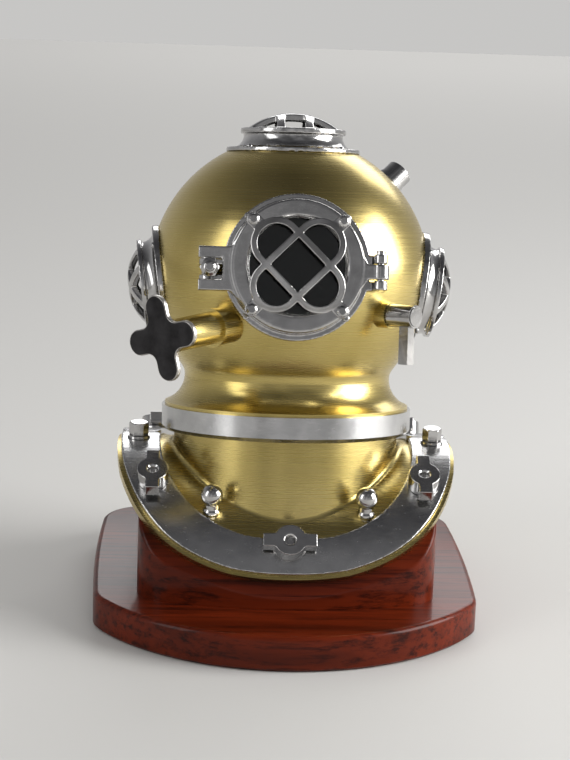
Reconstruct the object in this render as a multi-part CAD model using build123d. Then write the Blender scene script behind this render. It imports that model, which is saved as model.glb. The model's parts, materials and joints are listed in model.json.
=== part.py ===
from build123d import *
import math
import os

os.makedirs("parts", exist_ok=True)

# A desktop model of a deep-sea diving helmet on a two-tier wooden base.
# Millimetres, +Z up, the diver's front towards -Y, origin under the middle of the base.

# Fits shared by all pieces
seat_gap = 0.05
running_gap = 0.05
overrun = 2.0

# Wooden base: a bowed plinth and the saddle block on it
plinth_width = 142.0
plinth_depth = 164.0
plinth_thickness = 12.5
plinth_front_bow = 41.0
plinth_rear_bow = 20.0
plinth_side_bow = 1.6
plinth_corner = 19.0
plinth_edge = 1.8
helmet_set_back = 4.0
block_width = 109.0
block_depth = 117.0
block_bow = 9.0
block_side_bow = 1.0
block_corner = 15.0
block_edge = 1.5
base_screw_radius = 2.0
base_screw_head_radius = 4.0
base_screw_head_height = 2.4
base_screw_sink = 0.6
base_screw_length = 28.0
base_screw_spread_share = 0.3

# The arch that the flange and straps follow: a cylinder about an axis along X
arch_radius = 71.0
arch_axis_drop = 23.0
brale_thickness = 2.55
flange_thickness = 1.4
flange_edge_depth = 3.85
flange_edge_width = 1.8

# Straps (brales) laid out flat, and how far round the arch they reach
brale_half_width = 61.5
brale_reach_angle = 58.6
brale_side_width = 14.5
brale_inner_angle = 48.0
outline_power = 2.5
outline_arcs = 12
brale_joint_y = 4.6
brale_joint_gap = 0.6
brale_end_corner = 3.0
flange_lip = 1.4

# Studs, wing nuts and shoulder nuts
stud_radius = 1.5
stud_head_radius = 2.6
stud_head_height = 0.85
stud_stand_out = 3.6
front_stud_angle = 50.0
side_stud_angle = 28.0
side_stud_x = 49.0
shoulder_stud_x = 55.0
shoulder_stud_angle = 3.0
wing_boss_radius = 5.7
wing_span = 19.0
wing_width = 4.8
wing_height = 6.0
wing_lift = 1.5
wing_fillet = 1.6
wing_mouth_radius = 2.2
wing_mouth_depth = 0.8
shoulder_nut_flats = 6.4
shoulder_nut_height = 4.9
washer_radius = 4.2
washer_thickness = 0.9

# Ball knobs on the breast
ball_radius = 4.0
ball_neck_radius = 2.6
ball_base_radius = 3.2
ball_base_height = 2.6
ball_height = 7.5
ball_x = 27.7
ball_y = 42.6
ball_tilt = 9.0
ball_foot_z = 42.6

# The helmet's axis leans back about a point over the saddle
lean = 8.5
pivot_height = 57.7
neck_reach = 24.0
neck_fillet = 2.2
collar_radius = 41.9
collar_wall = 1.2
collar_height = 5.3
spigot_radius = 41.1
spigot_bore = 38.6
spigot_tail = 7.0
spigot_height = 11.8
gasket_thickness = 0.5

# Neck ring under the bonnet
ring_bottom = 5.6
ring_top = 14.6
ring_radius = 46.7
ring_foot_radius = 45.4
ring_chamfer = 1.4
ring_shoulder = 1.9
ring_shoulder_bore = 38.7

# Bonnet: a shell of tangent arcs, with its widest place at the equator
equator_height = 66.2
bonnet_radius = 51.7
bonnet_crown = 49.0
bonnet_shoulder_share = 0.85
bonnet_cheek_share = 1.2
bonnet_throat = 38.4
throat_fillet = 6.0
bonnet_wall = 1.2
bonnet_lip_radius = 45.6

# Side and top ports: castings with a domed guard, the side ones smaller
side_port_share = 0.87
side_port_pitch = 8.0
port_rim_radius = 24.9
side_rim_top = 49.4
top_rim_top = 44.5
port_rim_thickness = 2.6
port_boss_radius = 23.2
port_cone_foot = 22.5
port_cone_top = 18.4
port_lip_radius = 19.6
port_lip_height = 7.2
port_lip_thickness = 2.0
port_bore = 15.6
port_glass_radius = 17.3
port_glass_thickness = 2.0
side_glass_height = 50.9
top_glass_height = 47.4
port_gasket_depth = 6.0
port_gasket_bore = 15.9
port_guard_apex = 13.3
port_guard_thickness = 2.3
port_bar_width = 3.0
port_bar_spacing = 10.4
port_screw_circle = 23.6
port_screw_head_radius = 1.2
port_screw_head_height = 0.8
port_screw_radius = 0.7
port_screw_length = 0.7

# Front port frame
front_port_drop = 4.1
front_port_pitch = 7.0
front_flange_radius = 25.9
front_flange_top = 49.4
front_seat_radius = 23.7
front_seat_top = 50.4
front_port_bore = 17.8
front_screw_circle = 24.9
hinge_x = 29.2
hinge_rise = 2.2
hinge_drop = 1.5
hinge_pin_radius = 1.15
hinge_pin_head_radius = 1.6
hinge_pin_head_height = 1.4
hinge_ear_radius = 2.4
hinge_ear_length = 3.2
hinge_knuckle_radius = 3.0
hinge_knuckle_length = 5.2
hinge_side_gap = 0.4
latch_x = 30.6
latch_pivot_drop = 4.1
latch_ear_end = 34.2
latch_ear_thickness = 2.3
latch_ear_top_gap = 0.9
latch_eye_radius = 2.7
latch_eye_length = 3.4
latch_bolt_radius = 1.5
latch_bolt_length = 13.2
latch_pin_radius = 1.1
latch_nut_flats = 6.2
latch_nut_height = 2.6
latch_nut_dome = 1.7

# Front door
door_gap = 0.3
door_radius = 23.5
door_opening = 16.7
door_bevel = 1.3
door_thickness = 4.5
door_edge = 0.9
door_lug_length = 34.5
door_lug_half_height = 7.7
door_lug_root = 23.6
door_lug_thickness = 4.1
door_slot_height = 7.4
door_slot_root = 26.2
door_glass_radius = 18.2
door_glass_thickness = 2.3
door_gasket_inner = 20.0
door_gasket_outer = 22.4
door_gasket_depth = 1.0
door_gasket_proud = 0.2

# Front door guard: two crossing loops of rounded bar, cast in one
guard_bar = 2.4
guard_loop_half_width = 7.9
guard_loop_centre = 10.7
guard_apex = 4.0
guard_edge_drop = 2.6
guard_thickness = 2.2
guard_tab_circle = 22.2
guard_tab_radius = 2.5
guard_tab_thickness = 1.3
guard_screw_head_radius = 2.0
guard_screw_head_height = 1.3
guard_screw_radius = 1.0
guard_screw_length = 3.4

# Exhaust valve on the left cheek
valve_azimuth = -30.0
valve_drop = 19.3
valve_turn = -40.0
valve_pitch = 6.0
valve_root = 7.0
valve_sleeve_radius = 6.6
valve_sleeve_length = 7.5
valve_step_radius = 7.0
valve_step_length = 1.0
valve_stem_radius = 5.7
valve_stem_length = 24.3
valve_bore = 2.6
valve_hole_depth = 9.0
knob_gap = 0.3
knob_radius = 14.9
knob_lobe_radius = 4.5
knob_waist_radius = 8.6
knob_thickness = 1.8
knob_lobe_turn = 12.0

# Spit cock on the right cheek
cock_azimuth = 40.0
cock_drop = 14.6
cock_turn = 48.0
cock_root = 6.0
cock_sleeve_radius = 4.7
cock_sleeve_length = 3.4
cock_gap = 0.3
cock_barrel_radius = 4.1
cock_barrel_length = 10.2
cock_spigot_radius = 2.2
cock_spigot_length = 7.0
cock_cap_radius = 3.5
cock_cap_thickness = 0.9
cock_lever_side = 3.9
cock_lever_length = 13.0
cock_lever_offset = 6.6

# Air inlet behind the right ear
inlet_azimuth = 120.0
inlet_rise = 30.0
inlet_radius = 5.2
inlet_root = 5.0
inlet_length = 11.5
inlet_bore = 3.4
inlet_band_radius = 5.7
inlet_band_height = 2.0
inlet_band_place_share = 0.35

# Sizes worked out from those above
plinth_top = plinth_thickness
arch_z = plinth_top - arch_axis_drop
brale_under = arch_radius - brale_thickness
flange_top = brale_under - seat_gap
flange_under = flange_top - flange_thickness
flange_edge_under = flange_top - flange_edge_depth
block_radius = flange_edge_under - seat_gap
shoulder_arc = bonnet_radius * bonnet_shoulder_share
shoulder_centre = bonnet_radius - shoulder_arc
crown_arc = (shoulder_centre**2 + bonnet_crown**2 - shoulder_arc**2) / (2 * (bonnet_crown - shoulder_arc))
crown_centre = equator_height + bonnet_crown - crown_arc
crown_turn = math.degrees(math.atan2(equator_height - crown_centre, shoulder_centre))
cheek_arc = bonnet_radius * bonnet_cheek_share
throat_out = bonnet_throat + throat_fillet - bonnet_radius + cheek_arc
cheek_turn = math.degrees(math.acos(throat_out / (cheek_arc + throat_fillet)))
throat_height = equator_height - (cheek_arc + throat_fillet) * math.sin(math.radians(cheek_turn))
door_back = front_seat_top + door_gap
door_face = door_back + door_thickness
hinge_z = front_seat_top + hinge_rise
latch_z = front_seat_top - latch_pivot_drop
lug_face = door_back + door_lug_thickness
sky = arch_radius + pivot_height


def write(name, piece):
    """Save one piece under its name."""
    piece.label = name
    export_step(piece, os.path.join("parts", name + ".step"))


def rod(radius, low, high):
    """A round bar along Z between two heights."""
    return Pos(0, 0, low) * Cylinder(radius, high - low, align=(Align.CENTER, Align.CENTER, Align.MIN))


def tube(outer, inner, low, high):
    """A round tube along Z."""
    return rod(outer, low, high) - rod(inner, low - overrun, high + overrun)


def turned(*points):
    """A solid turned about Z from (radius, height) points."""
    return revolve(Plane.XZ * Polygon(*points, align=None), Axis.Z)


def hexagon(flats, low, high):
    """A hexagonal bar along Z with the given width across flats."""
    return extrude(Pos(0, 0, low) * RegularPolygon(flats / 2, 6, major_radius=False), high - low)


def pan_screw(head_radius, head_height, shank_radius, shank_length):
    """A screw that points down -Z, with the underside of its head at zero."""
    head = turned(
        (0, 0),
        (head_radius, 0),
        (head_radius, head_height / 2),
        (head_radius * 0.6, head_height),
        (0, head_height),
    )
    return head + rod(shank_radius, -shank_length, 0)


# Wooden base


def bowed_board(width, depth, front_bow, rear_bow, side_bow, corner, low, high):
    """A board whose four edges bow outwards, with rounded corners."""
    half = width / 2
    waist = half - side_bow
    front = -depth / 2
    rear = depth / 2
    left_front = (-waist, front + front_bow)
    right_front = (waist, front + front_bow)
    left_rear = (-waist, rear - rear_bow)
    right_rear = (waist, rear - rear_bow)
    middle = (left_front[1] + left_rear[1]) / 2
    edges = [
        ThreePointArc(left_front, (0, front), right_front),
        ThreePointArc(right_front, (half, middle), right_rear),
        ThreePointArc(right_rear, (0, rear), left_rear),
        ThreePointArc(left_rear, (-half, middle), left_front),
    ]
    face = make_face(edges)
    face = fillet(face.vertices(), corner)
    return extrude(Pos(0, 0, low) * face, high - low)


def base_screw_places():
    """Screw centres under the block, two to a side."""
    reach_x = block_width * base_screw_spread_share
    reach_y = block_depth * base_screw_spread_share
    return [(x, helmet_set_back + y) for x in (-reach_x, reach_x) for y in (-reach_y, reach_y)]


def base_screw(gap):
    """A countersunk wood screw from below, or with a gap the hole for it."""
    head = base_screw_head_radius + gap
    shank = base_screw_radius + gap
    top = base_screw_length
    sink = base_screw_sink - gap
    return turned(
        (0, sink),
        (head, sink),
        (head, base_screw_sink + gap),
        (shank, base_screw_sink + base_screw_head_height + gap),
        (shank, top + gap),
        (0, top + gap),
    )


def base_screw_hole():
    """The screw's hole, open at the underside."""
    mouth = rod(base_screw_head_radius + seat_gap, -overrun, base_screw_sink)
    return base_screw(seat_gap) + mouth


plinth = bowed_board(
    plinth_width,
    plinth_depth,
    plinth_front_bow,
    plinth_rear_bow,
    plinth_side_bow,
    plinth_corner,
    0,
    plinth_thickness,
)
plinth = fillet(plinth.edges().group_by(Axis.Z)[-1], plinth_edge)
plinth = chamfer(plinth.edges().group_by(Axis.Z)[0], plinth_edge / 2)


def arch_rod(radius):
    """The full cylinder of the arch, wide enough to cover the base."""
    return Pos(0, helmet_set_back, arch_z) * Rot(0, 90, 0) * Cylinder(radius, plinth_width)


def outline_point(half_width, reach_angle, height, share):
    """A point of the rounded outline at a height over the arch's axis, some share of the way round."""
    turn = 2 * math.pi * share
    across = math.copysign(abs(math.cos(turn)) ** (2 / outline_power), math.cos(turn))
    along = math.copysign(abs(math.sin(turn)) ** (2 / outline_power), math.sin(turn))
    slope = math.tan(math.radians(reach_angle * along))
    return (half_width * across, helmet_set_back + height * slope, arch_z + height)


def arch_outline(half_width, reach_angle):
    """A rounded outline laid on the arch, standing square to it, as a cutting body."""
    faces = []
    for height in (arch_radius / 3, arch_radius + overrun):
        arcs = []
        for step in range(outline_arcs):
            shares = [(step + part / 2) / outline_arcs for part in (-1, 0, 1)]
            points = [outline_point(half_width, reach_angle, height, share) for share in shares]
            arcs.append(ThreePointArc(*points))
        faces.append(make_face(arcs))
    return loft(faces, ruled=True)


def on_arch(x, angle):
    """A place on the arch; its local Z points outwards and is zero at the arch's axis."""
    return Location((x, helmet_set_back, arch_z), (angle, 0, 0))


block = Pos(0, helmet_set_back, 0) * bowed_board(
    block_width,
    block_depth,
    block_bow,
    block_bow,
    block_side_bow,
    block_corner,
    plinth_top,
    plinth_top + sky,
)
block = block & arch_rod(block_radius)
block = fillet(block.faces().sort_by(Axis.Z)[-1].edges(), block_edge)
screws = []
for x, y in base_screw_places():
    plinth = plinth - Pos(x, y, 0) * base_screw_hole()
    block = block - Pos(x, y, 0) * base_screw(seat_gap)
    screws.append(Pos(x, y, 0) * base_screw(0))
write("base_plinth", plinth)
write("saddle_block", block)
write("base_screws", Compound(children=screws))


# Corselet: flange on the arch, skirt and leaning collar


helmet = Location((0, helmet_set_back, pivot_height), (-lean, 0, 0))


def flange_outline(inset):
    """The flange's outline: the straps' outline and a lip round it."""
    spread = flange_lip - inset
    return arch_outline(brale_half_width + spread, brale_reach_angle + math.degrees(spread / flange_top))


def on_neck(point):
    """Whether a point lies on the outside of the neck."""
    local = (helmet.inverse() * Pos(point)).position
    return abs(math.hypot(local.X, local.Y) - collar_radius) < seat_gap


def on_flange(point):
    """Whether a point lies on the flange's upper face."""
    return abs(math.hypot(point.Y - helmet_set_back, point.Z - arch_z) - flange_top) < seat_gap


stud_places = [
    on_arch(0, front_stud_angle),
    on_arch(0, -front_stud_angle),
    on_arch(-side_stud_x, side_stud_angle),
    on_arch(side_stud_x, side_stud_angle),
    on_arch(-side_stud_x, -side_stud_angle),
    on_arch(side_stud_x, -side_stud_angle),
    on_arch(-shoulder_stud_x, shoulder_stud_angle),
    on_arch(shoulder_stud_x, shoulder_stud_angle),
]

corselet = (arch_rod(flange_top) - arch_rod(flange_under)) & flange_outline(0)
turned_edge = (arch_rod(flange_top) - arch_rod(flange_edge_under)) & flange_outline(0)
corselet = corselet + (turned_edge - flange_outline(flange_edge_width))
neck = helmet * rod(collar_radius, -neck_reach, collar_height) - arch_rod(flange_under)
corselet = corselet + neck
crease = [edge for edge in corselet.edges() if on_neck(edge @ 0) and on_flange(edge @ 0)]
corselet = fillet(crease, neck_fillet)
collar_bore = collar_radius - collar_wall
corselet = corselet - helmet * rod(collar_bore, -neck_reach, collar_height)
for place in stud_places:
    corselet = corselet - place * rod(stud_radius + seat_gap, flange_under - overrun, flange_top + overrun)
write("corselet_shell", corselet)

# The spigot is a threaded ring set into the collar; the neck ring turns on it.
inside_collar = collar_bore - seat_gap
spigot = tube(spigot_radius, spigot_bore, collar_height, spigot_height)
spigot = spigot + tube(inside_collar, spigot_bore, collar_height - spigot_tail, collar_height)
write("neck_spigot", helmet * spigot)
gasket = tube(spigot_radius, spigot_bore, spigot_height, spigot_height + gasket_thickness)
write("neck_gasket", helmet * gasket)


# Straps, studs, wing nuts and shoulder nuts


def brale_ring():
    """Both straps as one ring on the arch."""
    sheet = arch_rod(arch_radius) - arch_rod(brale_under)
    outer = arch_outline(brale_half_width, brale_reach_angle)
    inner = arch_outline(brale_half_width - brale_side_width, brale_inner_angle)
    return (sheet & outer) - inner


def brale_ends(direction, end_y):
    """Keeps the ring on one side of a line and rounds the ends of the strap."""
    reach = plinth_depth
    middle_x = brale_half_width - brale_side_width / 2
    strip = Pos(0, helmet_set_back + end_y + direction * (reach / 2 + brale_end_corner), plinth_top)
    keep = extrude(strip * Rectangle(plinth_width, reach), sky)
    tip = RectangleRounded(brale_side_width, 2 * brale_side_width, brale_end_corner)
    for side in (-1, 1):
        tip_y = helmet_set_back + end_y + direction * brale_side_width
        keep = keep + extrude(Pos(side * middle_x, tip_y, plinth_top) * tip, sky)
    return keep


ring = brale_ring()
front_brale = ring & brale_ends(-1, brale_joint_y)
rear_brale = ring & brale_ends(1, brale_joint_y + brale_joint_gap)
for place in stud_places:
    hole = place * rod(stud_radius + seat_gap, brale_under - overrun, arch_radius + overrun)
    front_brale = front_brale - hole
    rear_brale = rear_brale - hole
write("front_brale", front_brale)
write("rear_brale", rear_brale)

stud = rod(stud_radius, flange_under - seat_gap - stud_head_height, arch_radius + stud_stand_out)
stud = stud + rod(stud_head_radius, flange_under - seat_gap - stud_head_height, flange_under - seat_gap)
write("brale_studs", Compound(children=[place * stud for place in stud_places]))


def wing_nut():
    """A wing nut: a round boss with two square wings whose undersides are raised."""
    low = arch_radius + seat_gap
    outline = Circle(wing_boss_radius) + Rectangle(wing_span, wing_width)
    joints = [v for v in outline.vertices() if abs(v.X) < wing_boss_radius]
    outline = fillet(joints, wing_fillet)
    body = extrude(Pos(0, 0, low) * outline, wing_height)
    under = Pos(0, 0, low) * Box(
        wing_span + overrun,
        2 * wing_boss_radius,
        2 * wing_lift,
    )
    body = body - (under - rod(wing_boss_radius, low - overrun, low + wing_height))
    top = low + wing_height
    body = body - rod(stud_radius + running_gap, low - overrun, top + overrun)
    mouth = turned(
        (0, top - wing_mouth_depth),
        (stud_radius + running_gap, top - wing_mouth_depth),
        (wing_mouth_radius, top),
        (wing_mouth_radius, top + overrun),
        (0, top + overrun),
    )
    return body - mouth


# The wings of a front or rear nut lie along the strap, and so do those of the side nuts.
wing_names = [
    "wing_nut_front",
    "wing_nut_rear",
    "wing_nut_front_left",
    "wing_nut_front_right",
    "wing_nut_rear_left",
    "wing_nut_rear_right",
]
wing_turns = [0, 0, 90, 90, 90, 90]
for name, turn, place in zip(wing_names, wing_turns, stud_places):
    write(name, place * Rot(0, 0, turn) * wing_nut())

washer = tube(washer_radius, stud_radius + seat_gap, arch_radius + seat_gap, arch_radius + washer_thickness)
nut_low = arch_radius + washer_thickness
nut_top = nut_low + shoulder_nut_height
shoulder_nut = hexagon(shoulder_nut_flats, nut_low, nut_top)
shoulder_nut = shoulder_nut & turned(
    (0, nut_low),
    (shoulder_nut_flats, nut_low),
    (shoulder_nut_flats, nut_top - shoulder_nut_flats / 2),
    (shoulder_nut_flats / 2, nut_top),
    (0, nut_top),
)
nut_bore_top = arch_radius + stud_stand_out + seat_gap
shoulder_nut = shoulder_nut - rod(stud_radius + seat_gap, nut_low - overrun, nut_bore_top)
shoulder_places = stud_places[-2:]
write("shoulder_washers", Compound(children=[place * washer for place in shoulder_places]))
write("shoulder_nuts", Compound(children=[place * shoulder_nut for place in shoulder_places]))


def ball_knob():
    """A ball on a beaded foot, standing on the breast."""
    foot = turned(
        (0, -ball_base_height * 2),
        (ball_base_radius * 0.8, -ball_base_height * 2),
        (ball_base_radius * 0.8, 0),
        (ball_base_radius, ball_base_height * 0.3),
        (ball_base_radius, ball_base_height * 0.7),
        (ball_neck_radius, ball_base_height),
        (ball_neck_radius, ball_height),
        (0, ball_height),
    )
    return foot + Pos(0, 0, ball_height) * Sphere(ball_radius)


breast = arch_rod(flange_top + seat_gap)
knobs = []
for side in (-1, 1):
    place = Location((side * ball_x, helmet_set_back - ball_y, ball_foot_z), (ball_tilt, 0, 0))
    knobs.append(place * ball_knob() - breast)
write("lanyard_knobs", Compound(children=knobs))


# Bonnet shell and neck ring


def bonnet_solid(offset, low):
    """The bonnet's full body in the helmet frame, grown or shrunk by an offset."""
    shoulder = CenterArc((shoulder_centre, equator_height), shoulder_arc + offset, 0, crown_turn)
    crown = CenterArc((0, crown_centre), crown_arc + offset, crown_turn, 90 - crown_turn)
    cheek_centre = (bonnet_radius - cheek_arc, equator_height)
    cheek = CenterArc(cheek_centre, cheek_arc + offset, -cheek_turn, cheek_turn)
    bend_centre = (bonnet_throat + throat_fillet, throat_height)
    bend = CenterArc(bend_centre, throat_fillet - offset, 180 - cheek_turn, cheek_turn)
    throat = bend @ 1
    flare_width = bonnet_lip_radius - throat.X
    flare_height = throat_height - ring_top - bonnet_wall - offset
    flare_arc = (flare_width**2 + flare_height**2) / (2 * flare_width)
    flare_turn = math.degrees(math.asin(flare_height / flare_arc))
    flare = CenterArc((throat.X + flare_arc, throat_height), flare_arc, 180, flare_turn)
    lip = Line(flare @ 1, (bonnet_lip_radius, low))
    foot = Line((bonnet_lip_radius, low), (0, low))
    axis_line = Line((0, low), crown @ 1)
    profile = make_face([shoulder, crown, cheek, bend, flare, lip, foot, axis_line])
    # The seam is turned to the back, away from the ports.
    return Rot(0, 0, 90) * revolve(Plane.XZ * profile, Axis.Z)


def bonnet_reach(rise):
    """The bonnet's radius at a height above the equator."""
    if rise < 0:
        return bonnet_radius - cheek_arc + math.sqrt(cheek_arc**2 - rise**2)
    if rise < shoulder_arc * math.sin(math.radians(crown_turn)):
        return shoulder_centre + math.sqrt(shoulder_arc**2 - rise**2)
    return math.sqrt(crown_arc**2 - (rise + equator_height - crown_centre) ** 2)


def port_place(turn, tip, drop):
    """A port's frame: local Z points out of the port and is zero on the bonnet's axis."""
    centre = Location((0, 0, equator_height - drop))
    return centre * Location((0, 0, 0), (0, 0, turn)) * Location((0, 0, 0), (tip, 0, 0))


def cheek_place(azimuth, drop, turn, pitch):
    """A fitting's frame: local Z points outwards, and local Y stays upright."""
    reach = bonnet_reach(-drop)
    x = reach * math.sin(math.radians(azimuth))
    y = -reach * math.cos(math.radians(azimuth))
    spot = Location((x, y, equator_height - drop))
    return spot * Location((0, 0, 0), (0, 0, turn)) * Location((0, 0, 0), (90 + pitch, 0, 0))


front_port = port_place(0, 90 - front_port_pitch, front_port_drop)
left_port = port_place(-90, 90 + side_port_pitch, 0)
right_port = port_place(90, 90 + side_port_pitch, 0)
top_port = port_place(0, 0, 0)
valve_place = cheek_place(valve_azimuth, valve_drop, valve_turn, valve_pitch)
cock_place = cheek_place(cock_azimuth, cock_drop, cock_turn, 0)
# The inlet stands square to the shell.
inlet_slope = math.degrees(math.asin((inlet_rise + equator_height - crown_centre) / crown_arc))
inlet_place = cheek_place(inlet_azimuth, -inlet_rise, inlet_azimuth, -inlet_slope)

bonnet_outside = bonnet_solid(0, ring_top)
scribe = bonnet_solid(seat_gap, ring_top)

shell = bonnet_outside - bonnet_solid(-bonnet_wall, ring_top - overrun)
shell = shell - front_port * rod(front_port_bore, 0, 2 * bonnet_radius)
for place, share in ((left_port, side_port_share), (right_port, side_port_share), (top_port, 1)):
    shell = shell - place * rod(port_gasket_bore * share, 0, 2 * bonnet_radius)
shell = shell - valve_place * rod(valve_bore, -valve_root, valve_root)
shell = shell - cock_place * rod(cock_spigot_radius / 2, -cock_root, cock_root)
shell = shell - inlet_place * rod(inlet_bore, -inlet_root, inlet_root)
write("bonnet_shell", helmet * shell)

neck_ring = turned(
    (spigot_radius + running_gap, ring_bottom),
    (ring_foot_radius, ring_bottom),
    (ring_radius, ring_bottom + ring_chamfer),
    (ring_radius, ring_top),
    (ring_shoulder_bore, ring_top),
    (ring_shoulder_bore, ring_top - ring_shoulder),
    (spigot_radius + running_gap, ring_top - ring_shoulder),
)
write("neck_ring", helmet * neck_ring)


# Side and top ports


def port_frame(place, share, rim_top, glass_low):
    """Rim, concave cone, lip and domed guard as one casting, scribed to the shell."""
    lip_top = rim_top + port_lip_height * share
    lip_low = lip_top - port_lip_thickness * share
    rim = rod(port_rim_radius * share, rim_top - port_rim_thickness, rim_top)
    rim = rim + rod(port_boss_radius * share, rim_top - 4 * port_rim_thickness, rim_top)
    cone_foot = port_cone_foot * share
    cone_height = lip_low - rim_top
    cone = Pos(cone_foot / 2, rim_top + cone_height / 2) * Rectangle(cone_foot, cone_height)
    hollow = Pos(cone_foot, lip_low) * Ellipse(cone_foot - port_cone_top * share, cone_height)
    body = rim + revolve(Plane.XZ * (cone - hollow), Axis.Z)
    body = body + rod(port_lip_radius * share, lip_low, lip_top)
    scribe_here = place.inverse() * scribe
    body = body - scribe_here
    body = body - rod(port_bore * share, 0, lip_top + overrun)
    body = body - rod(port_glass_radius * share + seat_gap, 0, glass_low + port_glass_thickness + seat_gap)
    return body + port_guard(share, rim_top)


def port_guard(share, rim_top):
    """Crossed flat bars cut out of a domed plate."""
    lip_top = rim_top + port_lip_height * share
    apex = rim_top + port_guard_apex * share
    rise = apex - lip_top + port_guard_thickness / 2
    bar = port_bar_width * share
    edge = port_lip_radius * share - bar / 4
    dome_radius = (edge**2 + rise**2) / (2 * rise)
    centre = Pos(0, 0, apex - dome_radius)
    dome = centre * Sphere(dome_radius) - centre * Sphere(dome_radius - port_guard_thickness)
    bars = Sketch()
    spread = port_bar_spacing * share / 2
    for offset in (-spread, spread):
        bars = bars + Pos(0, offset) * Rectangle(2 * edge, bar)
        bars = bars + Pos(offset, 0) * Rectangle(bar, 2 * edge)
    bars = bars & Circle(edge)
    if share < 1:
        bars = Rot(0, 0, 45) * bars
    low = lip_top - port_lip_thickness * share
    return extrude(Pos(0, 0, low) * bars, port_guard_apex) & dome


def port_screw_places(rim_top, circle):
    """Four places on the rim, between the main directions."""
    places = []
    for turn in (45, 135, 225, 315):
        places.append(Rot(0, 0, turn) * Pos(circle, 0, rim_top))
    return places


def write_port(name, place, share, rim_top, glass_low):
    """Write one port's frame, glass, gasket and screws."""
    frame = port_frame(place, share, rim_top, glass_low)
    spots = port_screw_places(rim_top, port_screw_circle * share)
    for spot in spots:
        frame = frame - spot * rod(port_screw_radius + seat_gap, -port_screw_length - seat_gap, overrun)
        frame = frame - spot * rod(port_screw_head_radius + seat_gap, 0, port_screw_head_height + overrun)
    write(name + "_port_frame", helmet * place * frame)
    glass = rod(port_glass_radius * share, glass_low, glass_low + port_glass_thickness)
    write(name + "_port_glass", helmet * place * glass)
    seal_low = glass_low - port_gasket_depth
    seal = tube(port_glass_radius * share, port_gasket_bore * share, seal_low, glass_low - seat_gap)
    seal = seal - place.inverse() * scribe
    write(name + "_port_gasket", helmet * place * seal)
    screw = pan_screw(port_screw_head_radius, port_screw_head_height, port_screw_radius, port_screw_length)
    write(name + "_port_screws", Compound(children=[helmet * place * spot * screw for spot in spots]))


write_port("left", left_port, side_port_share, side_rim_top, side_glass_height)
write_port("right", right_port, side_port_share, side_rim_top, side_glass_height)
write_port("top", top_port, 1, top_rim_top, top_glass_height)


# Front port frame with its hinge ears and latch ears


def hinge_ear(side):
    """One ear of the frame's hinge, above or below the door's knuckle."""
    inner = hinge_knuckle_length / 2 + hinge_side_gap
    middle_y = -hinge_drop + side * (inner + hinge_ear_length / 2)
    barrel = Pos(hinge_x, middle_y, hinge_z) * Rot(90, 0, 0) * Cylinder(hinge_ear_radius, hinge_ear_length)
    foot_height = hinge_z - front_flange_top / 2
    foot = Pos(hinge_x, middle_y, hinge_z - foot_height / 2) * Box(
        2 * hinge_ear_radius, hinge_ear_length, foot_height
    )
    web_x = (front_seat_radius + hinge_x) / 2
    web_height = front_flange_top / 2
    web = Pos(web_x, middle_y, front_flange_top - web_height / 2) * Box(
        hinge_x - front_seat_radius, hinge_ear_length, web_height
    )
    return barrel + foot + web


def latch_ear(side):
    """One ear that holds the swing bolt's pivot pin."""
    inner = latch_eye_length / 2 + running_gap
    middle_y = -hinge_drop + side * (inner + latch_ear_thickness / 2)
    top = front_seat_top - latch_ear_top_gap
    length = latch_ear_end - front_port_bore
    ear = Pos(-latch_ear_end + length / 2, middle_y, top / 2) * Box(length, latch_ear_thickness, top)
    nose = Pos(-latch_x, middle_y, latch_z) * Rot(90, 0, 0) * Cylinder(
        latch_ear_end - latch_x, latch_ear_thickness
    )
    corner = Pos(-latch_x - overrun, middle_y, 0) * Box(2 * overrun, 2 * latch_ear_thickness, 2 * sky)
    return (ear - corner) + nose + (ear & (corner - Pos(0, 0, latch_z + sky) * corner))


front_frame = rod(front_flange_radius, 0, front_flange_top) + rod(front_seat_radius, 0, front_seat_top)
for side in (-1, 1):
    front_frame = front_frame + hinge_ear(side) + latch_ear(side)
bolt_way = Pos(-front_flange_radius - overrun, -hinge_drop, latch_z) * Box(
    2 * (front_flange_radius + overrun - door_slot_root),
    latch_eye_length + 2 * running_gap,
    2 * front_seat_top,
)
front_frame = front_frame - bolt_way
front_frame = front_frame - front_port.inverse() * scribe
front_frame = front_frame - rod(front_port_bore, 0, front_seat_top + overrun)
hinge_bore = Pos(hinge_x, -hinge_drop, hinge_z) * Rot(90, 0, 0) * Cylinder(hinge_pin_radius + seat_gap, sky)
front_frame = front_frame - hinge_bore
latch_bore = Pos(-latch_x, -hinge_drop, latch_z) * Rot(90, 0, 0) * Cylinder(
    latch_pin_radius + seat_gap, 2 * latch_ear_thickness + latch_eye_length + overrun
)
front_frame = front_frame - latch_bore
front_spots = port_screw_places(front_flange_top, front_screw_circle)
screw_hole = rod(port_screw_radius + seat_gap, -port_screw_length - seat_gap, overrun)
head_room = rod(port_screw_head_radius + seat_gap, 0, overrun)
for spot in front_spots:
    front_frame = front_frame - spot * screw_hole - spot * head_room
write("front_port_frame", helmet * front_port * front_frame)
small_screw = pan_screw(port_screw_head_radius, port_screw_head_height, port_screw_radius, port_screw_length)
small_screws = [helmet * front_port * spot * small_screw for spot in front_spots]
write("front_port_screws", Compound(children=small_screws))

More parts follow.
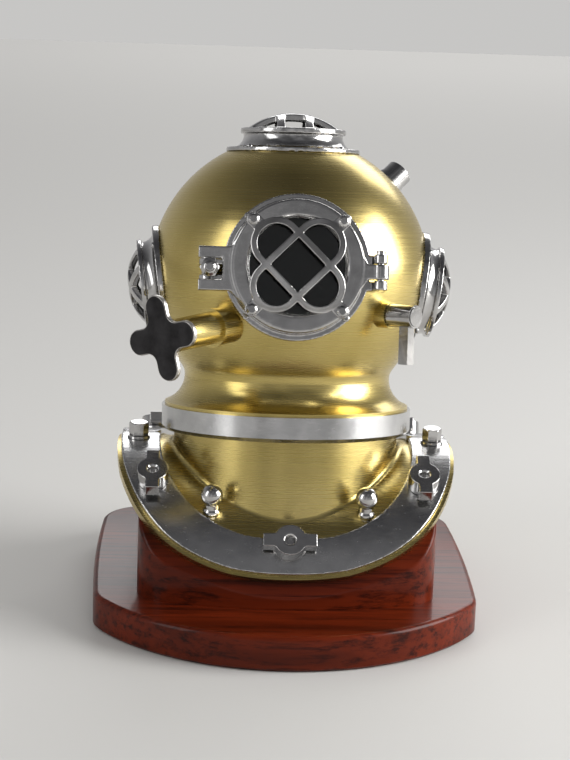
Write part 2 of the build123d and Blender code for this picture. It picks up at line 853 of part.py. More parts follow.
hinge_half = hinge_knuckle_length / 2 + hinge_side_gap + hinge_ear_length
hinge_pin = rod(hinge_pin_radius, -hinge_half, hinge_half)
hinge_pin = hinge_pin + rod(hinge_pin_head_radius, hinge_half, hinge_half + hinge_pin_head_height)
hinge_pin = Pos(hinge_x, -hinge_drop, hinge_z) * Rot(-90, 0, 0) * hinge_pin
write("hinge_pin", helmet * front_port * hinge_pin)
latch_half = latch_eye_length / 2 + running_gap + latch_ear_thickness
latch_pin = Rot(90, 0, 0) * rod(latch_pin_radius, -latch_half, latch_half)
latch_pin = Pos(-latch_x, -hinge_drop, latch_z) * latch_pin
write("latch_pin", helmet * front_port * latch_pin)


# Front door, its glass, gasket and guard


def door_outline():
    """The door's ring with the latch lug on its left and the hinge lug on its right."""
    shoulder = door_radius * math.cos(math.radians(45))
    top = -hinge_drop + door_lug_half_height
    bottom = -hinge_drop - door_lug_half_height
    lug = Polygon(
        (-door_lug_length, bottom),
        (-door_lug_length, top),
        (-door_lug_root, top),
        (-shoulder, shoulder),
        (0, 0),
        (-shoulder, -shoulder),
        (-door_lug_root, bottom),
        align=None,
    )
    half = hinge_knuckle_length / 2
    knuckle = Polygon(
        (hinge_x, -hinge_drop + half),
        (door_radius + half / 2, -hinge_drop + half),
        (shoulder, shoulder),
        (0, 0),
        (shoulder, -shoulder),
        (door_radius + half / 2, -hinge_drop - half),
        (hinge_x, -hinge_drop - half),
        align=None,
    )
    slot = Pos(-door_slot_root - sky / 2, -hinge_drop) * Rectangle(sky, door_slot_height)
    return lug - slot, knuckle


lug, knuckle_plate = door_outline()
door = rod(door_radius, door_back, door_face)
door = fillet(door.edges().sort_by(Axis.Z)[-1], door_edge)
door = door + extrude(Pos(0, 0, door_back) * lug, door_lug_thickness, dir=(0, 0, 1))
door = door + extrude(Pos(0, 0, door_back) * knuckle_plate, door_lug_thickness, dir=(0, 0, 1))
knuckle_bar = Rot(90, 0, 0) * Cylinder(hinge_knuckle_radius, hinge_knuckle_length)
# The plate's end is cut back to the knuckle's round.
plate_end = Pos(hinge_x + sky / 2, 0, 0) * Box(sky, sky, sky)
door = door - plate_end + Pos(hinge_x, -hinge_drop, hinge_z) * knuckle_bar
door = door - turned(
    (0, 0),
    (door_opening, 0),
    (door_opening, door_face - door_bevel),
    (door_opening + door_bevel, door_face),
    (door_opening + door_bevel, door_face + overrun),
    (0, door_face + overrun),
)
glass_low = door_back + seat_gap
glass_top = glass_low + door_glass_thickness
door = door - rod(door_glass_radius + seat_gap, 0, glass_top + seat_gap)
groove_top = door_back + door_gasket_depth
door = door - tube(door_gasket_outer + seat_gap, door_gasket_inner - seat_gap, 0, groove_top)
pin_bore = Rot(90, 0, 0) * Cylinder(hinge_pin_radius + running_gap, sky)
door = door - Pos(hinge_x, -hinge_drop, hinge_z) * pin_bore
tab_spots = [Rot(0, 0, turn) * Pos(guard_tab_circle, 0, door_face) for turn in (45, 135, 225, 315)]
for spot in tab_spots:
    hole_low = guard_tab_thickness - guard_screw_length - seat_gap
    door = door - spot * rod(guard_screw_radius + seat_gap, hole_low, overrun)
write("face_door", helmet * front_port * door)
write("face_door_glass", helmet * front_port * rod(door_glass_radius, glass_low, glass_top))
seal = tube(door_gasket_outer, door_gasket_inner, door_back - door_gasket_proud, groove_top - seat_gap)
write("face_door_gasket", helmet * front_port * seal)


def guard_loops():
    """Two stadium loops at right angles, each at 45 degrees to upright."""
    outer = guard_loop_half_width + guard_bar / 2
    inner = guard_loop_half_width - guard_bar / 2
    loops = Sketch()
    for turn in (45, 135):
        loop = SlotCenterToCenter(2 * guard_loop_centre, 2 * outer)
        loop = loop - SlotCenterToCenter(2 * guard_loop_centre, 2 * inner)
        loops = loops + Rot(0, 0, turn) * loop
    return loops


tip = guard_loop_centre + guard_loop_half_width + guard_bar / 2
dome_radius = (tip**2 + guard_edge_drop**2) / (2 * guard_edge_drop)
dome_top = door_face + guard_apex
dome_centre = Pos(0, 0, dome_top - dome_radius)
guard = extrude(Pos(0, 0, door_face + seat_gap) * guard_loops(), guard_apex)
guard = guard & dome_centre * Sphere(dome_radius)
hollow = dome_centre * Sphere(dome_radius - guard_thickness)
guard = guard - hollow
for spot in tab_spots:
    tab = rod(guard_tab_radius, seat_gap, guard_tab_thickness)
    neck = Pos(-guard_tab_radius / 2, 0, (seat_gap + guard_tab_thickness) / 2) * Box(
        guard_tab_radius, 2 * guard_tab_radius, guard_tab_thickness - seat_gap
    )
    guard = guard + spot * (tab + neck)
for spot in tab_spots:
    guard = guard - spot * rod(guard_screw_radius + seat_gap, -overrun, guard_apex)
    guard = guard - spot * rod(guard_screw_head_radius + seat_gap, guard_tab_thickness, guard_apex)
write("face_door_guard", helmet * front_port * guard)
tab_screw = pan_screw(
    guard_screw_head_radius, guard_screw_head_height, guard_screw_radius, guard_screw_length
)
lift = Pos(0, 0, guard_tab_thickness)
tab_screws = [helmet * front_port * spot * lift * tab_screw for spot in tab_spots]
write("guard_screws", Compound(children=tab_screws))


# Swing bolt and its nut

eye = Rot(90, 0, 0) * Cylinder(latch_eye_radius, latch_eye_length)
bolt = eye + rod(latch_bolt_radius, 0, latch_bolt_length)
bolt = bolt - Rot(90, 0, 0) * Cylinder(latch_pin_radius + running_gap, sky)
bolt_place = Pos(-latch_x, -hinge_drop, latch_z)
write("swing_bolt", helmet * front_port * bolt_place * bolt)

latch_nut_low = lug_face - latch_z + seat_gap
latch_nut_high = latch_nut_low + latch_nut_height
latch_nut = hexagon(latch_nut_flats, latch_nut_low, latch_nut_high)
latch_nut = latch_nut + turned(
    (0, latch_nut_high),
    (latch_nut_flats / 2, latch_nut_high),
    (latch_nut_flats / 3, latch_nut_high + latch_nut_dome * 0.7),
    (latch_nut_flats / 5, latch_nut_high + latch_nut_dome),
    (0, latch_nut_high + latch_nut_dome),
)
latch_nut = latch_nut - rod(latch_bolt_radius + running_gap, 0, latch_bolt_length + seat_gap)
write("latch_nut", helmet * front_port * bolt_place * latch_nut)


# Exhaust valve body and its four-lobed knob

stem_low = valve_sleeve_length + valve_step_length
stem_top = stem_low + valve_stem_length
valve = rod(valve_sleeve_radius, -valve_root, valve_sleeve_length)
valve = valve + rod(valve_step_radius, valve_sleeve_length, stem_low)
valve = valve + rod(valve_stem_radius, stem_low, stem_top)
valve = valve - (helmet * valve_place).inverse() * (helmet * scribe)
valve = valve - rod(valve_bore + running_gap, -valve_root - overrun, stem_top + overrun)
write("exhaust_valve_body", helmet * valve_place * valve)

knob_low = stem_top + knob_gap
lobe_centre = knob_radius - knob_lobe_radius
waist = Circle(knob_waist_radius)
arms = Rectangle(2 * lobe_centre, 2 * knob_lobe_radius) + Rectangle(2 * knob_lobe_radius, 2 * lobe_centre)
for turn in (0, 90, 180, 270):
    arms = arms + Rot(0, 0, turn) * Pos(lobe_centre, 0) * Circle(knob_lobe_radius)
clover = fillet([v for v in arms.vertices() if v.center().length < lobe_centre], knob_lobe_radius * 0.75)
knob = extrude(Pos(0, 0, knob_low) * Rot(0, 0, knob_lobe_turn) * clover, knob_thickness)
knob = fillet(knob.edges().group_by(Axis.Z)[-1], knob_thickness / 4)
knob = knob + rod(valve_bore, knob_low - valve_hole_depth, knob_low + knob_thickness / 2)
write("exhaust_knob", helmet * valve_place * knob)


# Spit cock: a fixed sleeve and a turning barrel with its lever

cock_body = rod(cock_sleeve_radius, -cock_root, cock_sleeve_length)
cock_body = cock_body - (helmet * cock_place).inverse() * (helmet * scribe)
spigot_end = cock_sleeve_length + cock_spigot_length
cock_body = cock_body + rod(cock_spigot_radius, cock_sleeve_length / 2, spigot_end)
write("spit_cock_body", helmet * cock_place * cock_body)

barrel_low = cock_sleeve_length + cock_gap
barrel_top = barrel_low + cock_barrel_length
barrel = rod(cock_barrel_radius, barrel_low, barrel_top)
lever_top = cock_barrel_radius / 2
lever_middle = (lever_top + cock_lever_length + cock_barrel_radius) / 2
lever = Pos(0, -lever_middle, barrel_low + cock_lever_offset)
lever = lever * Box(cock_lever_side, cock_lever_length + cock_barrel_radius - lever_top, cock_lever_side)
barrel = barrel + lever
barrel = barrel - rod(cock_spigot_radius + running_gap, 0, spigot_end + cock_gap)
barrel = barrel - rod(cock_cap_radius + seat_gap, barrel_top - cock_cap_thickness, barrel_top + overrun)
write("spit_cock_lever", helmet * cock_place * barrel)
cap = rod(cock_cap_radius, barrel_top - cock_cap_thickness + seat_gap, barrel_top + cock_cap_thickness / 3)
write("spit_cock_cap", helmet * cock_place * cap)


# Air inlet stub

inlet = rod(inlet_radius, -inlet_root, inlet_length)
band_low = inlet_length * inlet_band_place_share
inlet = inlet + rod(inlet_band_radius, band_low, band_low + inlet_band_height)
inlet = inlet - (helmet * inlet_place).inverse() * (helmet * scribe)
inlet = inlet - rod(inlet_bore, -inlet_root - overrun, inlet_length + overrun)
write("air_inlet", helmet * inlet_place * inlet)
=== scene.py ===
# %% [markdown]
# # A desk model of a diving helmet
# The CAD model gives every piece its place and size. This lesson loads it, keeps
# it as the frame, and dresses it: cast and polished fittings, spun brass, and a
# varnished wooden base. Lengths are in metres, and `mm` turns drawing sizes into them.

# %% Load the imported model
import json
import math

import bpy
from mathutils import Matrix, Vector

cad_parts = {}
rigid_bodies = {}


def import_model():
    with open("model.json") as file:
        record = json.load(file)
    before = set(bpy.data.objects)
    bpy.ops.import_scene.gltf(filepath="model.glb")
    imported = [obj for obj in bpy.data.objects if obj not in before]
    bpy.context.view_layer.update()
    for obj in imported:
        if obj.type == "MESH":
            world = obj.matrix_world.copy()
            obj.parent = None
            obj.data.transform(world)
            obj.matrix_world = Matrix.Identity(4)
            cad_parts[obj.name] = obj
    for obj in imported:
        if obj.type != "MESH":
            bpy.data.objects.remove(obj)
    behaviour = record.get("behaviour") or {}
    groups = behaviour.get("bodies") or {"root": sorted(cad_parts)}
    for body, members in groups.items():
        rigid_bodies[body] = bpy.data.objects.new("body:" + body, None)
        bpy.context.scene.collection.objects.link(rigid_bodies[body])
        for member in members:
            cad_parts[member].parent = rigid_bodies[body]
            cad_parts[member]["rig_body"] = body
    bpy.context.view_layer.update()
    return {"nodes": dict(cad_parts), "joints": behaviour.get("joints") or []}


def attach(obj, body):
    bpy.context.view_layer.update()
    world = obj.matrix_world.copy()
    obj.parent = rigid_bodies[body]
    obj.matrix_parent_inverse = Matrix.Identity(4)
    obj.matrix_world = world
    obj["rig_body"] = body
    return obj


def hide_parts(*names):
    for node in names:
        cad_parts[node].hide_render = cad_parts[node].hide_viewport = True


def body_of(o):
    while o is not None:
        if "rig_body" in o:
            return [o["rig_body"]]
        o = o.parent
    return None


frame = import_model()
nodes = frame["nodes"]
mm = 0.001

# %% [markdown]
# ## The camera
# The photograph looks a little down at the model from the front. The camera's
# place and turn were worked out from the base's edges and the round rings, and
# its matrix is built from its three directions: backwards, to the right and up.

# %% Camera
photo_height_pixels = 760
focal_pixels = 1990
shift_pixels = -2.2
camera_place = Vector((-37.97, -720.47, 255.24)) * mm
back = Vector((-0.0509, -0.9714, 0.2317)).normalized()
right = Vector((0.99844, -0.04423, 0.03395)).normalized()
up = back.cross(right).normalized()
camera_data = bpy.data.cameras.new("camera")
camera = bpy.data.objects.new("camera", camera_data)
bpy.context.scene.collection.objects.link(camera)
turn = Matrix((right, up, back)).transposed().to_4x4()
camera.matrix_world = Matrix.Translation(camera_place) @ turn
camera_data.lens = focal_pixels * camera_data.sensor_width / photo_height_pixels
camera_data.shift_x = shift_pixels / photo_height_pixels
camera_data.clip_start = 0.05
camera_data.clip_end = 20
bpy.context.scene.camera = camera
print("lens", round(camera_data.lens, 1), "mm")

# %% [markdown]
# ## Floor and light
# Polished metal shows whatever stands around it, so the room matters as much as
# the lamps. The world is a soft gradient, pale at the horizon and darker overhead,
# with tall pale and dark stretches behind the camera for the metal to mirror. The
# camera itself sees a plain pale backdrop, matt surfaces feel an even soft light,
# and three large soft lamps stand where windows would.


# %% Steps that the room and the finishes share
def math_step(tree, operation, first, second):
    """One step of arithmetic on two values, each a socket or a number."""
    node = tree.nodes.new("ShaderNodeMath")
    node.operation = operation
    for index, value in enumerate((first, second)):
        if isinstance(value, (int, float)):
            node.inputs[index].default_value = value
        else:
            tree.links.new(value, node.inputs[index])
    return node.outputs[0]


def spread(tree, value, low, high, from_low=0.3, from_high=0.7):
    """Map a span of a value, by default the middle of a noise, onto another span."""
    node = tree.nodes.new("ShaderNodeMapRange")
    node.inputs["From Min"].default_value = from_low
    node.inputs["From Max"].default_value = from_high
    node.inputs["To Min"].default_value = low
    node.inputs["To Max"].default_value = high
    tree.links.new(value, node.inputs["Value"])
    return node.outputs["Result"]


def towards(tree, value, first, colour):
    """Blend from a colour socket to one plain colour by a value."""
    node = tree.nodes.new("ShaderNodeMix")
    node.data_type = "RGBA"
    node.inputs["B"].default_value = (*colour, 1)
    tree.links.new(value, node.inputs["Factor"])
    tree.links.new(first, node.inputs["A"])
    return node.outputs["Result"]


# %% World
world = bpy.context.scene.world or bpy.data.worlds.new("room")
bpy.context.scene.world = world
world.use_nodes = True
tree = world.node_tree
tree.nodes.clear()
wires = tree.links
where = tree.nodes.new("ShaderNodeTexCoord").outputs["Generated"]
split = tree.nodes.new("ShaderNodeSeparateXYZ")
wires.new(where, split.inputs[0])
height = spread(tree, split.outputs["Z"], 0, 1, from_low=-1, from_high=1)
ramp = tree.nodes.new("ShaderNodeValToRGB")
wires.new(height, ramp.inputs[0])
horizon, zenith = ramp.color_ramp.elements
horizon.position = 0.35
horizon.color = (0.62, 0.61, 0.59, 1)
zenith.position = 1.0
zenith.color = (0.05, 0.05, 0.055, 1)
middle = ramp.color_ramp.elements.new(0.62)
middle.color = (0.42, 0.42, 0.43, 1)
# The room behind the camera has tall pale and dark stretches, such as windows and shelves.
upright = tree.nodes.new("ShaderNodeMapping")
upright.inputs["Scale"].default_value = (1.0, 1.0, 0.28)
upright.inputs["Location"].default_value = (3.3, 1.7, 0)
wires.new(where, upright.inputs[0])
shelves = tree.nodes.new("ShaderNodeTexNoise")
shelves.inputs["Scale"].default_value = 2.6
shelves.inputs["Detail"].default_value = 2
wires.new(upright.outputs[0], shelves.inputs["Vector"])
stretch = spread(tree, shelves.outputs["Fac"], 0.45, 1.25, from_low=0.4, from_high=0.6)
behind = spread(tree, split.outputs["Y"], 0, 1, from_low=0.25, from_high=-0.2)
change = math_step(tree, "MULTIPLY", math_step(tree, "SUBTRACT", stretch, 1), behind)
room = tree.nodes.new("ShaderNodeMix")
room.data_type = "RGBA"
room.blend_type = "MULTIPLY"
room.inputs["Factor"].default_value = 1
wires.new(ramp.outputs[0], room.inputs["A"])
wires.new(math_step(tree, "ADD", change, 1), room.inputs["B"])
print("room of", len(tree.nodes), "nodes")

# %% What the camera, the mirrors and the matt surfaces see of the room
path = tree.nodes.new("ShaderNodeLightPath")
to_camera = path.outputs["Is Camera Ray"]
seen = tree.nodes.new("ShaderNodeBackground")
backdrop = towards(tree, to_camera, room.outputs["Result"], (0.57, 0.565, 0.555))
wires.new(backdrop, seen.inputs["Color"])
felt = tree.nodes.new("ShaderNodeBackground")
felt.inputs["Color"].default_value = (1, 1, 1, 1)
felt.inputs["Strength"].default_value = 0.42
mirrored = math_step(tree, "MAXIMUM", path.outputs["Is Glossy Ray"], path.outputs["Is Transmission Ray"])
mix = tree.nodes.new("ShaderNodeMixShader")
wires.new(math_step(tree, "MAXIMUM", to_camera, mirrored), mix.inputs[0])
wires.new(felt.outputs[0], mix.inputs[1])
wires.new(seen.outputs[0], mix.inputs[2])
out = tree.nodes.new("ShaderNodeOutputWorld")
wires.new(mix.outputs[0], out.inputs["Surface"])
bpy.context.scene.view_settings.view_transform = "Standard"
print("world of", len(tree.nodes), "nodes")


# %% Lamps
def soft_lamp(name, place, width, height, watts):
    """A large rectangular lamp that faces the helmet."""
    data = bpy.data.lights.new(name, "AREA")
    data.shape = "RECTANGLE"
    data.size = width
    data.size_y = height
    data.energy = watts
    lamp = bpy.data.objects.new(name, data)
    bpy.context.scene.collection.objects.link(lamp)
    lamp.location = place
    lamp.rotation_euler = (helmet_middle - Vector(place)).to_track_quat("-Z", "Y").to_euler()
    print(name, watts, "W")


helmet_middle = Vector((0, 0, 0.1))
soft_lamp("window_left", place=(-0.9, -0.5, 0.5), width=0.4, height=0.9, watts=3)
soft_lamp("window_right", place=(1.1, -0.2, 0.5), width=0.8, height=0.8, watts=20)
soft_lamp("window_back", place=(1.0, 3.4, 2.0), width=3.2, height=1.6, watts=55)

# %% Floor
floor_width = 6
floor_gap = 0.2 * mm
bpy.ops.mesh.primitive_plane_add(size=floor_width, location=(0, 0, -floor_gap))
floor = bpy.context.object
floor.name = "floor"
print("floor", floor_width, "m wide")

# %% [markdown]
# ## Finishes
# Each finish is one material that reads Object coordinates, so it stays put on
# its piece. Its pattern is a noise that is squeezed or stretched along the way the
# metal was worked or the wood has grown. A pattern that belongs to the leaning
# helmet is turned upright with it first.

# %% Helpers for finishes
lean = math.radians(-8.5)


def new_finish(name):
    """A material with its shader ready to be set."""
    finish = bpy.data.materials.new(name)
    finish.use_nodes = True
    shader = finish.node_tree.nodes["Principled BSDF"]
    return finish, finish.node_tree, shader


def object_points(tree, scale=(1, 1, 1), leaning=False):
    """Object coordinates, squeezed or stretched, and turned upright with the helmet."""
    points = tree.nodes.new("ShaderNodeTexCoord")
    turned = tree.nodes.new("ShaderNodeMapping")
    if leaning:
        turned.inputs["Rotation"].default_value = (-lean, 0, 0)
    stretched = tree.nodes.new("ShaderNodeMapping")
    stretched.inputs["Scale"].default_value = scale
    tree.links.new(points.outputs["Object"], turned.inputs[0])
    tree.links.new(turned.outputs[0], stretched.inputs[0])
    return stretched.outputs[0]


def noise(tree, points, scale, detail, rough):
    """Cloudy noise on the given points."""
    cloud = tree.nodes.new("ShaderNodeTexNoise")
    cloud.inputs["Scale"].default_value = scale
    cloud.inputs["Detail"].default_value = detail
    cloud.inputs["Roughness"].default_value = rough
    tree.links.new(points, cloud.inputs["Vector"])
    return cloud.outputs["Fac"]


def tint(tree, value, dark, light):
    """Blend two colours by a noise."""
    node = tree.nodes.new("ShaderNodeMix")
    node.data_type = "RGBA"
    node.inputs["A"].default_value = (*dark, 1)
    node.inputs["B"].default_value = (*light, 1)
    tree.links.new(spread(tree, value, 0, 1), node.inputs["Factor"])
    return node.outputs["Result"]


def relief(tree, shader, value, strength, distance):
    """Give the surface a fine relief, its distance in millimetres."""
    bump = tree.nodes.new("ShaderNodeBump")
    bump.inputs["Strength"].default_value = strength
    bump.inputs["Distance"].default_value = distance * mm
    tree.links.new(value, bump.inputs["Height"])
    tree.links.new(bump.outputs[0], shader.inputs["Normal"])


def vector_step(tree, operation, first, second):
    """One step of arithmetic on two vectors, the second a socket or three numbers."""
    node = tree.nodes.new("ShaderNodeVectorMath")
    node.operation = operation
    tree.links.new(first, node.inputs[0])
    if isinstance(second, bpy.types.NodeSocket):
        tree.links.new(second, node.inputs[1])
    else:
        node.inputs[1].default_value = second
    return node


print("helmet leans", round(-math.degrees(lean), 1), "degrees")

# %% [markdown]
# ## Brushed brass
# The bonnet and the corselet were spun and brushed, which leaves fine rings around
# the helmet's leaning axis: a noise squeezed very thin along that axis. The bonnet is
# an open shell, and its inside is painted shade, near black and matt, for the dark
# seen through the windows. A place belongs to the inside where its face looks towards
# the middle of the shell.


# %% Brushed brass
def inside_of(tree, middle):
    """1 where a face looks towards the middle of a shell, and 0 elsewhere."""
    points = tree.nodes.new("ShaderNodeTexCoord")
    offset = vector_step(tree, "SUBTRACT", points.outputs["Object"], middle)
    # Below the middle only the distance from the upright counts, as the throat flares.
    outward = vector_step(tree, "MAXIMUM", offset.outputs[0], (-1, -1, 0))
    agreement = vector_step(tree, "DOT_PRODUCT", points.outputs["Normal"], outward.outputs[0])
    return spread(tree, agreement.outputs["Value"], 1, 0, from_low=-2 * mm, from_high=2 * mm)


def brushed_brass(name, hollow_middle=None):
    """Spun brass with rings round the helmet's axis, and painted shade, near black, on the inside where
    it is a shell.
    """
    finish, tree, shader = new_finish(name)
    rings = noise(tree, object_points(tree, (3, 3, 1500), leaning=True), 1.0, 3, 0.7)
    bands = noise(tree, object_points(tree, (1.5, 1.5, 160), leaning=True), 1.0, 2, 0.5)
    bloom = noise(tree, object_points(tree, leaning=True), 38, 3, 0.5)
    colour = tint(tree, bloom, (0.5, 0.39, 0.13), (0.6, 0.48, 0.19))
    rough = spread(tree, rings, 0.23, 0.3)
    if hollow_middle:
        # Painted shade: the inside of the shell is made near black, matt and not metal, for the dark
        # seen through the windows.
        painted_inner_shade = inside_of(tree, hollow_middle)
        metal = spread(tree, painted_inner_shade, 1, 0, from_low=0, from_high=1)
        tree.links.new(metal, shader.inputs["Metallic"])
        colour = towards(tree, painted_inner_shade, colour, (0.004, 0.004, 0.004))
        rough = math_step(tree, "MAXIMUM", painted_inner_shade, rough)
    else:
        shader.inputs["Metallic"].default_value = 1.0
    tree.links.new(colour, shader.inputs["Base Color"])
    tree.links.new(rough, shader.inputs["Roughness"])
    relief(tree, shader, math_step(tree, "ADD", rings, bands), 0.03, 0.05)
    print(name, len(tree.nodes), "nodes")
    return finish


helmet_foot = Vector((0, 4, 57.7)) * mm
helmet_axis = Vector((0, -math.sin(lean), math.cos(lean)))
bonnet_rise = 66
bonnet_middle = helmet_foot + helmet_axis * bonnet_rise * mm
brass = brushed_brass("brushed_brass")
# The bonnet's brass has painted shade on its inside.
shell_brass = brushed_brass("shell_brass", bonnet_middle)

# %% [markdown]
# ## Polished metal
# The fittings are cast and polished by hand, and a soft unevenness breaks their
# reflections. The straps are duller. The four-lobed knob is one casting too, but its
# flat face is dark and only its edge is bright, so its colour follows how squarely
# each place faces along the knob's own axis.


# %% Polished castings and the knob
def polished_casting(name, dark, light, low, high):
    """Cast metal, polished by hand, a little uneven, its roughness between low and high."""
    finish, tree, shader = new_finish(name)
    waves = noise(tree, object_points(tree), 120, 4, 0.55)
    scratches = noise(tree, object_points(tree, (260, 900, 1400)), 1.0, 3, 0.7)
    tree.links.new(tint(tree, waves, dark, light), shader.inputs["Base Color"])
    tree.links.new(spread(tree, scratches, low, high), shader.inputs["Roughness"])
    shader.inputs["Metallic"].default_value = 1.0
    relief(tree, shader, waves, 0.25, 0.12)
    print(name, len(tree.nodes), "nodes")
    return finish


def knob_dark_face_bright_edge(name, axis):
    """A knob whose flat face is dark and whose edge is polished bright."""
    finish, tree, shader = new_finish(name)
    waves = noise(tree, object_points(tree), 140, 4, 0.6)
    # The flat face is made near black and the edge bright, by how squarely each place faces along the
    # knob's axis.
    face = tint(tree, waves, (0.022, 0.021, 0.022), (0.05, 0.048, 0.05))
    points = tree.nodes.new("ShaderNodeTexCoord")
    agreement = vector_step(tree, "DOT_PRODUCT", points.outputs["Normal"], axis)
    turned_away = spread(tree, agreement.outputs["Value"], 1, 0, from_low=0.88, from_high=0.99)
    edge = towards(tree, turned_away, face, (0.5, 0.48, 0.45))
    tree.links.new(edge, shader.inputs["Base Color"])
    tree.links.new(spread(tree, waves, 0.3, 0.42), shader.inputs["Roughness"])
    shader.inputs["Metallic"].default_value = 1.0
    relief(tree, shader, waves, 0.2, 0.1)
    print(name, len(tree.nodes), "nodes")
    return finish


casting = polished_casting("polished_casting", (0.43, 0.425, 0.42), (0.6, 0.59, 0.58), 0.1, 0.2)
strap_metal = polished_casting("strap_metal", (0.48, 0.48, 0.48), (0.62, 0.615, 0.61), 0.18, 0.28)
knob_axis = next(j["axis"] for j in frame["joints"] if j["name"] == "exhaust_knob_turn")
knob_metal = knob_dark_face_bright_edge("knob_metal", knob_axis)

# %% [markdown]
# ## Wood, glass and rubber
# The wood has long dark pores and a broad figure under a thin gloss, both stretched
# along the grain from left to right. The glass is clear with a trace of green, a
# little smeared, and the seals are plain matt black.


# %% Wood, glass and rubber
def varnished_wood():
    """Red-brown wood with long dark pores under a gloss."""
    finish, tree, shader = new_finish("varnished_wood")
    pores = noise(tree, object_points(tree, (16, 380, 380)), 1.0, 5, 0.75)
    figure = noise(tree, object_points(tree, (5, 60, 60)), 1.0, 4, 0.6)
    board = tint(tree, figure, (0.045, 0.005, 0.001), (0.15, 0.018, 0.004))
    pore_depth = spread(tree, pores, 0, 0.85, from_low=0.48, from_high=0.64)
    grain = towards(tree, pore_depth, board, (0.012, 0.002, 0.001))
    tree.links.new(grain, shader.inputs["Base Color"])
    shader.inputs["Roughness"].default_value = 0.34
    shader.inputs["Specular IOR Level"].default_value = 0.1
    shader.inputs["Coat Weight"].default_value = 0.15
    shader.inputs["Coat Roughness"].default_value = 0.08
    relief(tree, shader, pores, 0.3, 0.2)
    return finish


def window_glass():
    """Clear glass with a trace of green."""
    finish, tree, shader = new_finish("window_glass")
    smear = noise(tree, object_points(tree), 90, 3, 0.5)
    tree.links.new(spread(tree, smear, 0.02, 0.07), shader.inputs["Roughness"])
    shader.inputs["Base Color"].default_value = (0.93, 0.97, 0.94, 1)
    shader.inputs["Transmission Weight"].default_value = 1.0
    shader.inputs["IOR"].default_value = 1.45
    return finish


def black_rubber():
    """A matt black seal."""
    finish, tree, shader = new_finish("black_rubber")
    grain = noise(tree, object_points(tree), 900, 3, 0.6)
    colour = tint(tree, grain, (0.012, 0.012, 0.012), (0.03, 0.03, 0.03))
    tree.links.new(colour, shader.inputs["Base Color"])
    shader.inputs["Roughness"].default_value = 0.75
    return finish


wood = varnished_wood()
glass = window_glass()
rubber = black_rubber()
print(len(bpy.data.materials), "materials")

# %% [markdown]
# ## Which piece has which finish
# The spun pieces are brass, the two boards of the base are wood, and the straps and
# the neck ring are the duller metal. Every piece that isn't named is a polished
# casting, so screws, pins and nuts match the fittings that they hold.

# %% Each CAD node gets its finish
finish_of = {"bonnet_shell": shell_brass, "exhaust_knob": knob_metal}
for name in ("corselet_shell", "neck_spigot", "exhaust_valve_body", "spit_cock_body"):
    finish_of[name] = brass
for name in ("base_plinth", "saddle_block"):
    finish_of[name] = wood
for name in ("front_brale", "rear_brale", "neck_ring"):
    finish_of[name] = strap_metal
for name, node in nodes.items():
    if name.endswith("_glass"):
        finish_of[name] = glass
    if name.endswith("_gasket"):
        finish_of[name] = rubber
    finish = finish_of.setdefault(name, casting)
    if not node.material_slots:
        node.data.materials.append(finish)
    for place in node.material_slots:
        place.material = finish
print("finishes on", len(nodes), "nodes")

# %% [markdown]
# ## Castings
# The fittings of the real model are cast, so no edge of them is sharp. Each casting
# is a copy of its CAD piece that is rebuilt in fine even cells and then smoothed,
# which rounds every edge and fills every inner corner a little, as sand moulds do.

# %% Copies that stand for CAD pieces
merge_distance = 0.002 * mm


def merged_copy(name, label):
    """A free copy of a CAD piece, with its double points merged, as the only selected object."""
    bpy.ops.object.select_all(action="DESELECT")
    piece = bpy.data.objects.new(name + label, nodes[name].data.copy())
    bpy.context.scene.collection.objects.link(piece)
    bpy.context.view_layer.objects.active = piece
    piece.select_set(True)
    bpy.ops.object.mode_set(mode="EDIT")
    bpy.ops.mesh.select_all(action="SELECT")
    bpy.ops.mesh.remove_doubles(threshold=merge_distance)
    bpy.ops.object.mode_set(mode="OBJECT")
    return piece


def stand_for(piece, name):
    """The piece takes a CAD piece's place, body and finish."""
    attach(piece, body_of(nodes[name])[0])
    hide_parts(name)
    print(name, len(piece.data.polygons), "faces")


# %% Rounded copies, each with its cells in millimetres and its smoothing passes
def cast_copy(name, cell, passes):
    """A copy with the soft edges of a casting."""
    piece = merged_copy(name, "_cast")
    remesh = piece.modifiers.new("cells", "REMESH")
    remesh.mode = "VOXEL"
    remesh.voxel_size = cell * mm
    remesh.use_smooth_shade = True
    soften = piece.modifiers.new("soften", "SMOOTH")
    soften.factor = 0.5
    soften.iterations = passes
    bpy.ops.object.modifier_apply(modifier="cells")
    bpy.ops.object.modifier_apply(modifier="soften")
    stand_for(piece, name)


castings = {
    "face_door_guard": (0.2, 12),
    "face_door": (0.3, 9),
    "front_port_frame": (0.3, 6),
    "left_port_frame": (0.26, 6),
    "right_port_frame": (0.26, 6),
    "top_port_frame": (0.3, 6),
    "latch_nut": (0.14, 5),
    "swing_bolt": (0.18, 2),
    "lanyard_knobs": (0.18, 3),
    "front_brale": (0.36, 2),
    "rear_brale": (0.36, 2),
    "exhaust_knob": (0.22, 2),
    "shoulder_nuts": (0.2, 2),
}
for name in nodes:
    if name.startswith("wing_nut"):
        castings[name] = (0.2, 3)
for name, (cell, passes) in castings.items():
    cast_copy(name, cell, passes)

# %% [markdown]
# ## Screw heads
# Each small screw has a cross cut into its head. The cutter is two thin bars, laid
# on the top of every head along the screw's own direction. The front window points
# up from the level, the top one along the helmet's axis, and the side ones down.

# %% Crosses cut into the screw heads
rim_depth = 0.05 * mm


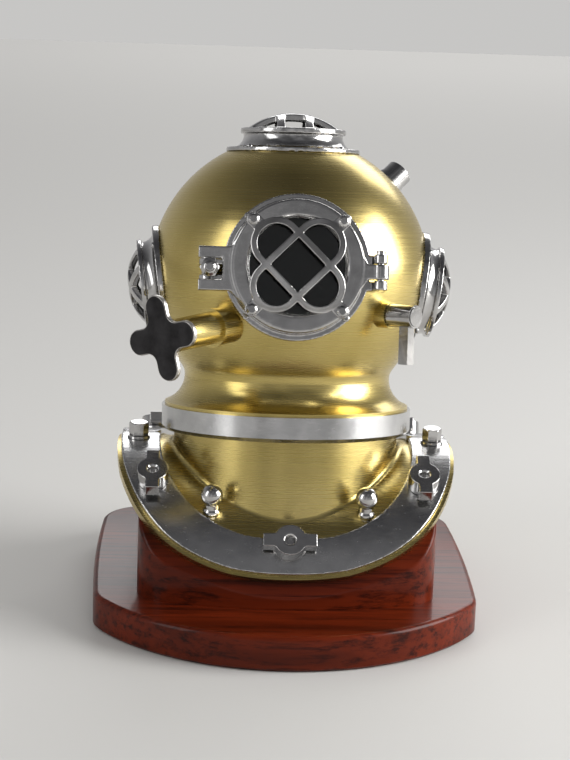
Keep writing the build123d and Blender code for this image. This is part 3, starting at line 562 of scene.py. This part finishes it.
def cut_bar(screw, head, turn, sizes):
    """Cut one bar of a cross into a screw's head."""
    bpy.ops.mesh.primitive_cube_add(size=1, location=head, rotation=turn)
    cutter = bpy.context.object
    cutter.scale = Vector(sizes) * mm
    bpy.ops.object.transform_apply(location=False, rotation=False, scale=True)
    bpy.ops.object.select_all(action="DESELECT")
    bpy.context.view_layer.objects.active = screw
    screw.select_set(True)
    cut = screw.modifiers.new("cut", "BOOLEAN")
    cut.object = cutter
    bpy.ops.object.modifier_apply(modifier="cut")
    bpy.data.objects.remove(cutter)


def cross_cut(name, axis, long, wide, deep):
    """A copy of a group of screws with a cross in every head."""
    merged_copy(name, "_slotted")
    bpy.ops.object.mode_set(mode="EDIT")
    bpy.ops.mesh.separate(type="LOOSE")
    bpy.ops.object.mode_set(mode="OBJECT")
    loose = list(bpy.context.selected_objects)
    turn = axis.to_track_quat("Z", "Y").to_euler()
    for screw in loose:
        points = [v.co for v in screw.data.vertices]
        top = max(p.dot(axis) for p in points)
        rim = [p for p in points if top - p.dot(axis) < rim_depth]
        head = sum(rim, Vector()) / len(rim)
        cut_bar(screw, head, turn, (long, wide, deep))
        cut_bar(screw, head, turn, (wide, long, deep))
    bpy.ops.object.select_all(action="DESELECT")
    for screw in loose:
        screw.select_set(True)
    bpy.context.view_layer.objects.active = loose[0]
    bpy.ops.object.join()
    stand_for(loose[0], name)


guard_cross = (2.4, 0.7, 1.0)
window_cross = (1.5, 0.35, 0.5)
front_rise = math.radians(15.5)
front_axis = Vector((0, -math.cos(front_rise), math.sin(front_rise)))
side_across, side_forward, side_down = 0.9903, 0.0206, 0.1377
left_axis = Vector((-side_across, -side_forward, -side_down))
right_axis = Vector((side_across, -side_forward, -side_down))
cross_cut("guard_screws", front_axis, *guard_cross)
cross_cut("front_port_screws", front_axis, *window_cross)
cross_cut("top_port_screws", helmet_axis, *window_cross)
cross_cut("left_port_screws", left_axis, *window_cross)
cross_cut("right_port_screws", right_axis, *window_cross)

# %% [markdown]
# ## The floor's finish
# A plain pale matt floor keeps the eye on the model and sends soft light up at it.

# %% Floor finish
finish, tree, shader = new_finish("pale_floor")
shader.inputs["Base Color"].default_value = (0.6, 0.59, 0.57, 1)
shader.inputs["Roughness"].default_value = 0.8
floor.data.materials.append(finish)
print("floor finish", finish.name)
